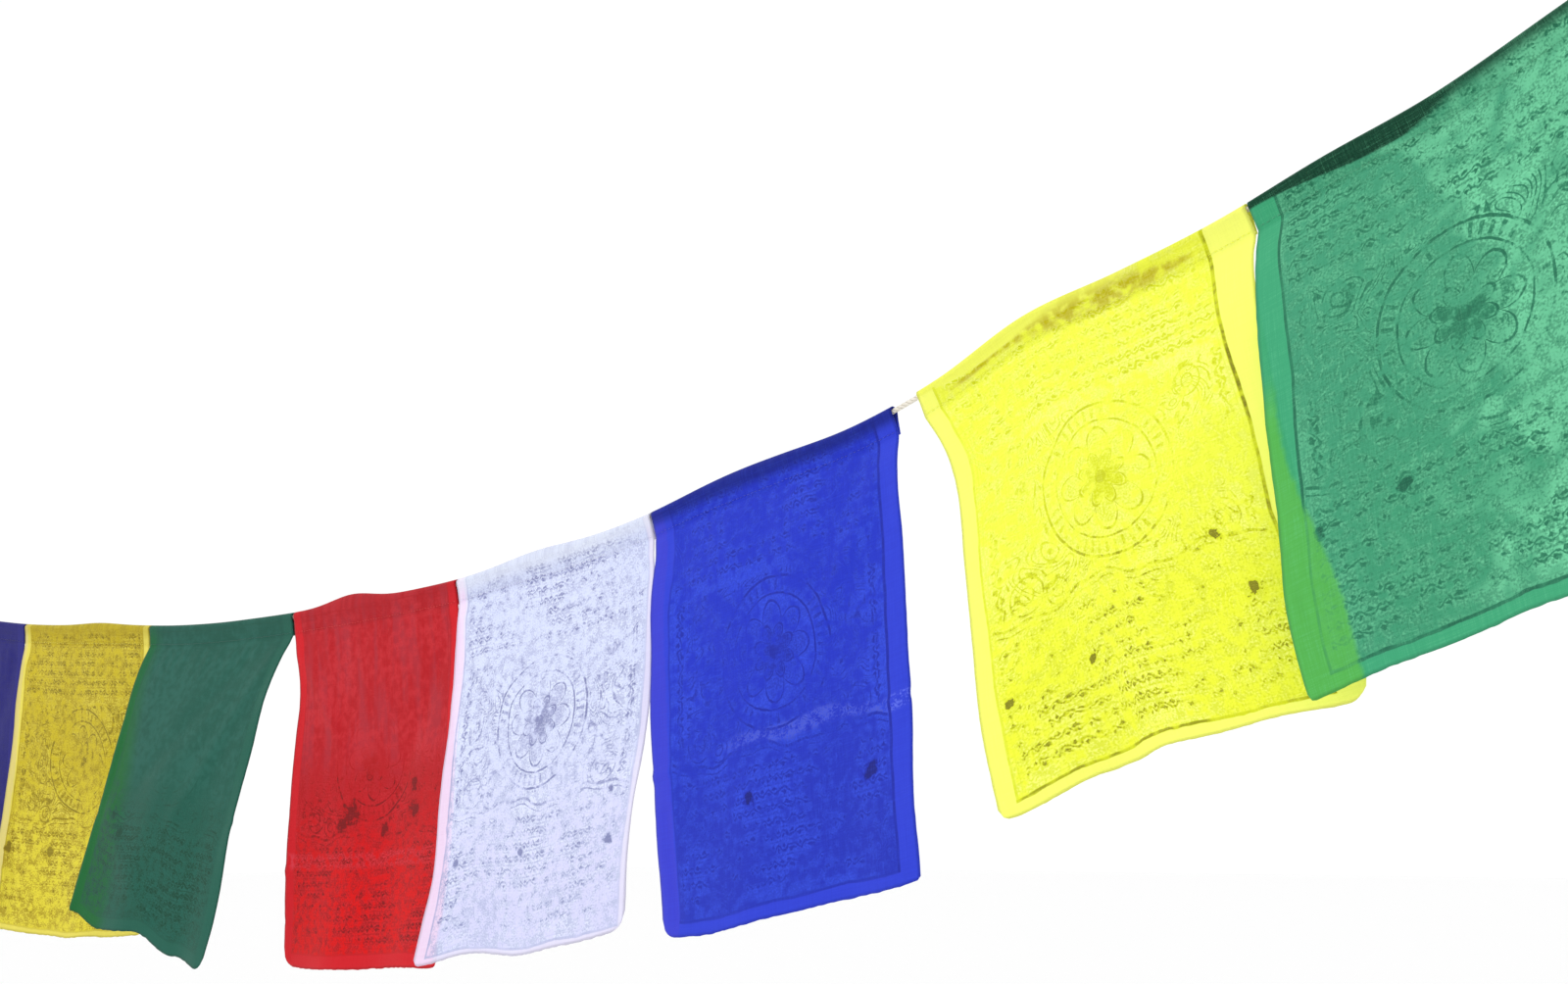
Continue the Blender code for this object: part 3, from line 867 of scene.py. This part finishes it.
def printed_lotus(n, x, y):
    """A lotus seen from above, in a halo of rays, and how far each place is from its middle."""
    up = y - LOTUS_DOWN
    radius = n.root(x * x + up * up)
    angle = n.math("ARCTAN2", x, up)
    petal = abs(n.math("COSINE", angle * 4))
    between = abs(n.math("SINE", angle * 4))
    from_outer = radius - OUTER_PETALS - OUTER_REACH * petal**0.7
    from_inner = radius - INNER_PETALS - INNER_REACH * between**0.7
    outer = n.larger(n.line(from_outer, 0.0008), n.fade(from_outer, -0.003, 0.0) * 0.55)
    inner = n.larger(n.line(from_inner, 0.0008), n.fade(from_inner, -0.002, 0.0) * 0.75)
    heart = n.fade(radius, 0.0036, 0.0046)
    in_halo = n.fade(abs(radius - (HALO_INSIDE + HALO_OUTSIDE) / 2), 0.0030, 0.0038)
    rays = n.rise(n.math("SINE", angle * HALO_RAYS), -0.2, 0.6) * in_halo
    rings = n.larger(n.line(radius - HALO_INSIDE, 0.0006), n.line(radius - HALO_OUTSIDE, 0.0008))
    tone = n.fade(radius, HALO_INSIDE, HALO_INSIDE + 0.001) * 0.34
    return n.larger(outer, inner, heart, rays * 0.7, rings, tone), radius


def printed_clouds(n, x, y):
    """Curling clouds over a wavy line."""
    wave = 0.0028 * n.math("SINE", x * 88) + 0.0012 * n.math("SINE", x * 230)
    drawn = [n.line(y - CLOUD_LINE - wave, 0.0009), n.line(y - CLOUD_LINE - CLOUD_GAP - wave, 0.0005)]
    for middle, height, size in CURLS:
        across = x - middle
        up = y - height
        away = n.root(across * across + up * up)
        drawn.append(n.line(abs(away - size * 0.72) - size * 0.28, 0.0006))
    return n.larger(*drawn) * n.fade(abs(x), CLOUDS_HALF_WIDTH, CLOUDS_HALF_WIDTH + 0.001) * 0.75


def printed_filigree(n, curls, x, y, from_lotus):
    """Thin curling lines that fill the picture round the lotus."""
    lines = n.fade(curls, 0.08, 0.30)
    inside = n.fade(abs(y - LOTUS_DOWN), PICTURE_HALF_HEIGHT - 0.001, PICTURE_HALF_HEIGHT)
    inside = inside * n.fade(abs(x), FILIGREE_HALF_WIDTH, FILIGREE_HALF_WIDTH + 0.001)
    return lines * inside * n.rise(from_lotus, HALO_OUTSIDE + 0.0005, HALO_OUTSIDE + 0.0020) * 0.75


def printed_frame(n, flag, across, down):
    """The ruled frame, and how far outside it each place is."""
    ruling = RULINGS[flag.name]
    left = ruling.left - across
    right = across - (FLAG_WIDTH - ruling.right) + ruling.right_top * n.fade(down, 0.0, 0.11)
    low = down - (FLAG_DROP - ruling.bottom)
    high = -FRAME_TOP - down
    if flag.name == "flag_7_yellow":
        high = caught_line(n, across) - down
    outside = n.larger(left, right, low, high)
    near = n.fade(outside, 0.0006, 0.0012)
    lines = n.larger(
        n.line(left, LEFT_LINE) * ruling.left_line,
        n.line(right, RIGHT_LINE) * ruling.right_line,
        n.line(low, BOTTOM_LINE) * ruling.bottom_line,
        n.line(outside + INNER_GAP, INNER_LINE) * 0.3)
    return lines * near * DYES[flag.name].ink_low, outside


def flag_ink(n, flag, across, down, faded, spots, grain, curls):
    """How much ink lies at each place of a flag, and how far outside the printed frame it is."""
    across = across + (faded - 0.5) * 0.005
    down = down + (spots - 0.5) * 0.0016 + (faded - 0.5) * 0.004
    ruled, outside = printed_frame(n, flag, across, down)
    ruling = RULINGS[flag.name]
    middle = (ruling.left + FLAG_WIDTH - ruling.right) / 2
    x = (across - middle) * (PICTURE_WIDTH / (FLAG_WIDTH - ruling.left - ruling.right))
    lotus, from_lotus = printed_lotus(n, x, down)
    wobble = (spots - 0.5) * 5.0 + (faded - 0.5) * 16.0
    picture = n.larger(
        lotus,
        scroll_rows(n, x, down, wobble, ROWS_TOP, TOP_ROWS),
        scroll_rows(n, x, down, wobble, ROWS_LOW, LOW_ROWS),
        scroll_columns(n, x, down, wobble),
        printed_clouds(n, x, down),
        printed_filigree(n, curls, x, down, from_lotus))
    worn = n.rise(faded * 0.45 + spots * 0.55, 0.40, 0.60)
    inside = n.fade(outside, -0.001, 0.0)
    dye = DYES[flag.name]
    fresh = n.rise(down, 0.10, 0.13) if flag.name == "flag_4_red" else n.rise(down, 0.11, 0.18)
    strength = dye.ink_top + (dye.ink_low - dye.ink_top) * fresh
    haze = n.rise(spots * 0.5 + grain * 0.5, 0.40, 0.60) * 0.45
    drawn = n.rise(picture * (0.35 + 0.65 * worn) + (grain - 0.5) * 0.8, 0.05, 1.05)
    drawn = n.larger(drawn, haze) * inside * strength
    for blot in BLOTS[flag.name]:
        x = across - blot.place[0]
        y = down - blot.place[1]
        away = n.root(x * x + y * y) / blot.radius + (spots - 0.5) * 2.4 + (grain - 0.5) * 0.8
        drawn = n.larger(drawn, n.fade(away, 0.4, 1.2) * 1.3)
    return n.math("MINIMUM", n.larger(drawn, ruled * (0.65 + 0.35 * worn)), 1.0), outside


def caught_line(n, across):
    """How far down from the cord the hem of the right-hand yellow flag has caught its print."""
    return 0.0015 + 0.0045 * n.rise(across, 0.0, 0.04) - 0.0080 * n.rise(across, 0.09, 0.15)


def caught_print(n, across, down, spots):
    """The smudged ink along that line."""
    half = 0.0014 + 0.0056 * n.fade(abs(across - 0.112), 0.01, 0.060)
    cover = n.fade(abs(down - 0.0075) / half, 0.2, 1.5) * n.rise(spots, 0.30, 0.60)
    return cover * n.fade(abs(across - 0.094), 0.066, 0.080)


def hem_and_shade_cover(n, flag, across, down):
    """1 on the doubled cloth of the hem, as far as it shows on that flag. On flag_6_blue and flag_8_green
    the hem's darker colour there is painted shade of the doubled cloth rolled over the cord.
    """
    if flag.name == "flag_7_yellow":
        return n.fade(down - caught_line(n, across), -0.0008, 0.0008)
    if flag.name == "flag_8_green":
        edge = 0.0020 + 0.0066 * n.rise(across, 0.0, 0.070) - 0.0055 * n.rise(across, 0.080, 0.120)
        return n.fade((down - edge) / (0.0006 + 0.0040 * n.rise(across, 0.080, 0.120)), -1.0, 1.0)
    return n.fade(abs(down), 0.002, HEM_DEPTH - 0.004)


def cloth_material(flag):
    """Dyed, printed and worn cotton."""
    dye = DYES[flag.name]
    n = Nodes(flag.name + " printed cotton")
    across, down = n.uv("cloth")
    seed = flag.start * 10
    place = n.vector(across, down, seed)
    faded = n.noise(place, 24.0, 2.0)
    spots = n.noise(place, 170.0, 2.0)
    grain = n.noise(place, 800.0, 1.0)
    level = n.noise(place, 36.0, 1.0, 1.2)
    curls = abs(n.math("FRACT", level * 15.0) - 0.5)
    warp = n.noise(n.vector(across * 1500, down * 50, seed), 1.0, 1.0)
    weft = n.noise(n.vector(across * 50, down * 1500, seed), 1.0, 1.0)
    ink, outside = flag_ink(n, flag, across, down, faded, spots, grain, curls)
    cloth = n.mix(n.rise(down, 0.10, 0.21), paint(*dye.top), paint(*dye.low))
    if flag.name == "flag_4_red":
        streaks = n.noise(n.vector(across * 90, down * 16, seed), 1.0, 4.0)
        streaked = n.rise(streaks, 0.42, 0.62) * n.fade(down, 0.09, 0.16)
        cloth = n.mix(streaked * 0.7, cloth, paint(168, 48, 62))
    worn = n.rise(spots * 0.6 + faded * 0.4, 0.42, 0.62)
    # On flag_8_green the right part is also made pale as painted light, besides the wear.
    if flag.name == "flag_8_green":
        worn = worn * 0.6 + n.rise(across + (level - 0.5) * 0.24, 0.080, 0.160) * 0.8
    worn = n.larger(worn, n.rise(curls, 0.30, 0.50) * n.rise(spots, 0.36, 0.60) * 0.7)
    cloth = n.mix(worn * dye.wear, cloth, paint(*dye.pale))
    cloth = n.mix(n.rise(outside, -0.0006, 0.0008), cloth, paint(*dye.margin))
    for strip in BEHIND:
        if strip.flag == flag.name:
            spread = n.rise(down, strip.start, STRIP_END) * (strip.bottom - strip.top)
            past = across - strip.top - spread - (spots - 0.5) * 0.003
            cover = n.fade(past, -strip.softness / 2, strip.softness / 2)
            cover = cover * n.rise(down, strip.start - STRIP_APPEARS, strip.start)
            cloth = n.mix(cover * strip.strength, cloth, paint(*strip.color))
            ink = ink * (1.0 - cover * strip.veil)
    if flag.name == "flag_6_blue":
        worn = n.line(down - 0.154 - 0.02 * (faded - 0.5), 0.0036) * n.rise(spots + grain, 0.90, 1.20)
        cloth = n.mix(worn * n.rise(across, 0.05, 0.08) * 0.8, cloth, paint(106, 124, 240))
    if flag.name == "flag_4_red":
        worn = n.line(down - 0.178, 0.005) * n.rise(spots, 0.36, 0.60)
        cloth = n.mix(worn * 0.6, cloth, paint(218, 72, 88))
    color = n.mix(n.rise(ink, 0.0, 0.6), cloth, paint(*dye.faint))
    color = n.mix(n.rise(ink, 0.5, 1.1), color, paint(*dye.ink))
    # The hem's band: painted shade of the doubled cloth and the cord on flag_6_blue and flag_8_green.
    color = n.mix(hem_and_shade_cover(n, flag, across, down) * dye.hem_and_shade_share, color, paint(*dye.hem))
    if flag.name == "flag_7_yellow":
        color = n.mix(caught_print(n, across, down, spots) * 0.72, color, paint(184, 164, 4))
    darker = n.mix(0.3, color, (0.0, 0.0, 0.0, 1.0))
    color = n.mix(n.line(down - STITCH_LINE, 0.0005) * 0.15, color, darker)
    lighter = n.mix(0.6, color, paint(*dye.pale))
    threads = n.math("SINE", across * THREADS + warp * 7.0) * n.math("SINE", down * THREADS + weft * 7.0)
    color = n.mix(n.rise(warp + weft + threads * 0.2, 1.00, 1.50) * 0.40, color, lighter)
    color = n.mix(n.fade(warp + weft + threads * 0.2, 0.50, 1.00) * 0.20, color, darker)
    # Painted shade along the cut edges, where the cloth rolls.
    sides = n.larger(0.0 - across, across - FLAG_WIDTH, down - FLAG_DROP)
    color = n.mix(n.rise(sides, -0.0022, -0.0005) * 0.7, color, darker)
    n.set("Base Color", color)
    n.set("Roughness", 0.92 - 0.15 * ink)
    n.set("Specular IOR Level", 0.2)
    n.set("Sheen Weight", 0.08)
    n.set("Sheen Roughness", 0.5)
    n.relief(threads * 0.00004 + (warp + weft) * 0.00007, 0.6)
    through = tuple(part**0.35 for part in paint(*dye.low)[:3])
    clear = n.node("ShaderNodeBsdfTransparent", None, {"Color": (*through, 1.0)})
    solid = Value(n, n.shader.outputs[0])
    mixed = n.node("ShaderNodeMixShader", None, {0: dye.sheer, 1: solid, 2: clear})
    n.tree.links.new(mixed.socket, n.tree.nodes["Material Output"].inputs["Surface"])
    return n.material


def thread_material(flag):
    """Sewing thread, a shade darker than the cloth."""
    n = Nodes(flag.name + " thread")
    place = n.node("ShaderNodeTexCoord", None, None, 3)
    ply = n.noise(place, 2500.0, 2.0)
    color = paint(*DYES[flag.name].low)
    darker = tuple(part * 0.6 for part in color[:3]) + (1.0,)
    n.set("Base Color", n.mix(n.rise(ply, 0.35, 0.65) * 0.5, color, darker))
    n.set("Roughness", 0.7)
    n.set("Sheen Weight", 0.2)
    n.relief(ply * 0.0001, 0.4)
    return n.material


def rope_material():
    """Twisted off-white cotton, with painted shade in the grooves between its strands and a little soil in
    patches.
    """
    n = Nodes("cotton cord")
    along, around = n.uv("rope")
    turn = around * (2 * math.pi) - along * (2 * math.pi / STRAND_TWIST)
    lobe = abs(n.math("COSINE", turn * (STRANDS / 2)))
    fibres = n.noise(n.vector(along * 900 + around * 60, around * 50 - along * 900), 1.0, 3.0)
    soil = n.noise(n.vector(along * 60, around * 2), 1.0, 3.0)
    clean = n.mix(n.rise(fibres, 0.3, 0.7), paint(212, 205, 190), paint(236, 231, 219))
    # Painted shade in the grooves between the strands.
    color = n.mix(n.fade(lobe, 0.05, 0.45) * 0.7, clean, paint(140, 130, 112))
    n.set("Base Color", n.mix(n.rise(soil, 0.52, 0.75) * 0.4, color, paint(176, 164, 142)))
    n.set("Roughness", 0.85)
    n.set("Sheen Weight", 0.2)
    n.relief(fibres * 0.0002, 0.5)
    return n.material


def plain_material(name, color, roughness):
    n = Nodes(name)
    n.set("Base Color", color)
    n.set("Roughness", roughness)
    return n.material


def place_camera():
    """The photograph's view: from the right, looking left and up along the string."""
    data = bpy.data.cameras.new("camera")
    data.lens = CAMERA_LENS
    data.sensor_width = 36.0
    data.clip_start = 0.01
    camera = bpy.data.objects.new("camera", data)
    camera.location = CAMERA_PLACE
    camera.rotation_euler = (math.radians(90 + CAMERA_PITCH), 0.0, math.radians(CAMERA_TURN))
    bpy.context.scene.collection.objects.link(camera)
    bpy.context.scene.camera = camera


def light_stage():
    """A wide pale floor, an even pale sky and two large soft lamps."""
    bm = bmesh.new()
    lowered = Matrix.Translation((0, 0, FLOOR_HEIGHT))
    bmesh.ops.create_grid(bm, x_segments=1, y_segments=1, size=FLOOR_SIZE, matrix=lowered)
    mesh = bpy.data.meshes.new("floor")
    bm.to_mesh(mesh)
    bm.free()
    mesh.materials.append(plain_material("pale floor", (0.96, 0.96, 0.96, 1.0), 0.9))
    floor = bpy.data.objects.new("floor", mesh)
    bpy.context.scene.collection.objects.link(floor)
    world = bpy.data.worlds.new("pale sky")
    world.use_nodes = True
    sky = world.node_tree.nodes["Background"].inputs
    sky["Color"].default_value = (1.0, 1.0, 1.0, 1.0)
    sky["Strength"].default_value = SKY_STRENGTH
    bpy.context.scene.world = world
    for name, place, watts in (("key lamp", KEY_PLACE, KEY_WATTS), ("back lamp", BACK_PLACE, BACK_WATTS)):
        data = bpy.data.lights.new(name, "AREA")
        data.size = LAMP_SIZE
        data.energy = watts
        lamp = bpy.data.objects.new(name, data)
        lamp.location = place
        lamp.rotation_euler = (Vector(LAMP_AIM) - Vector(place)).to_track_quat("-Z", "Y").to_euler()
        bpy.context.scene.collection.objects.link(lamp)
    bpy.context.scene.view_settings.view_transform = "Standard"


def make_cord(cord):
    """The cord with its knots and tie loops."""
    rope = rope_material()
    pieces = []
    ends = (
        ("left", cord.line[0], (cord.line[0] - cord.line[1]).normalized()),
        ("right", cord.line[-1], (cord.line[-1] - cord.line[-2]).normalized()),
    )
    for side, end, outward in ends:
        placing = end_frame(end, outward)
        for node, line in (
            (f"{side}_knot", knot_line(placing)),
            (f"{side}_tie_loop", tie_loop_line(placing)),
        ):
            piece, _ = twisted_rope(node + "_twist", line, CORD_DIAMETER)
            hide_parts(node)
            pieces.append(piece)
    piece, path = twisted_rope("cord_twist", cord.line, CORD_DIAMETER)
    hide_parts("cord")
    length = sum((b - a).length for a, b in zip(path, path[1:]))
    for piece in (piece, *pieces):
        piece.data.materials.append(rope)


def make_flag(flag, cord):
    """One flag: its cloth and its row of stitches."""
    cloth = make_cloth(flag, cord)
    cloth.data.materials.append(cloth_material(flag))
    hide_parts(flag.name)
    stitches = make_stitches(flag, cord)
    stitches.data.materials.append(thread_material(flag))


place_camera()
line = Cord(CORD_ROUTE)
make_cord(line)
for each in FLAGS:
    make_flag(each, line)
light_stage()
